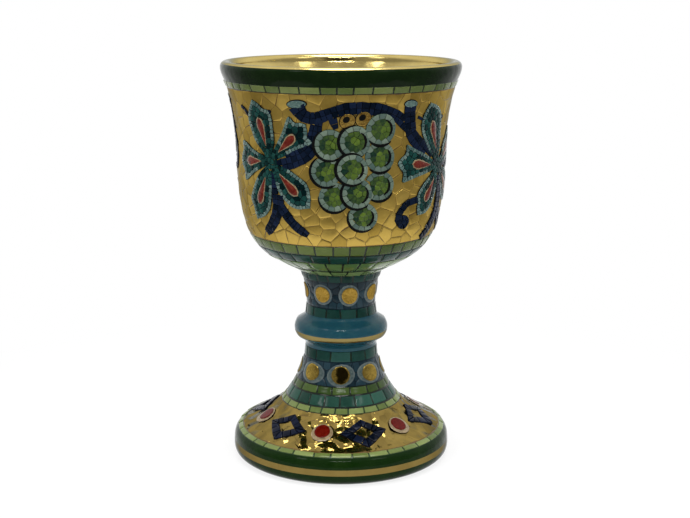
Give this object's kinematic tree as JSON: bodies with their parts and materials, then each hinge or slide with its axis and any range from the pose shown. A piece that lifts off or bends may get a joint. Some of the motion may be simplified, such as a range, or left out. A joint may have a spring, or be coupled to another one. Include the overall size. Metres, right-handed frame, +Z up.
{
  "type": "chalice",
  "caption": "Footed maiolica drinking cup: bell-shaped bowl on a short stem with a round knop and a flared hollow foot, glazed and gilded all over.",
  "frame": {"origin": "centre of the standing ring, on the table", "axes": "+Z up the axis of the cup, -Y to the side that faces the picture's camera"},
  "size_m": [0.1004, 0.1004, 0.17],
  "materials": {
    "gilt_glaze": "gold lustre over painted tin glaze",
    "foot_glaze": "gold lustre and dark green over painted tin glaze",
    "teal_glaze": "painted tin glaze",
    "blue_glaze": "glossy blue glaze",
    "fired_slip": "bare fired clay"
  },
  "bodies": {
    "root": {"bowl": "gilt_glaze", "bowl_slip": "fired_slip", "upper_stem": "teal_glaze", "upper_knop_slip": "fired_slip", "knop": "blue_glaze", "lower_knop_slip": "fired_slip", "foot": "foot_glaze"}
  },
  "joints": []
}
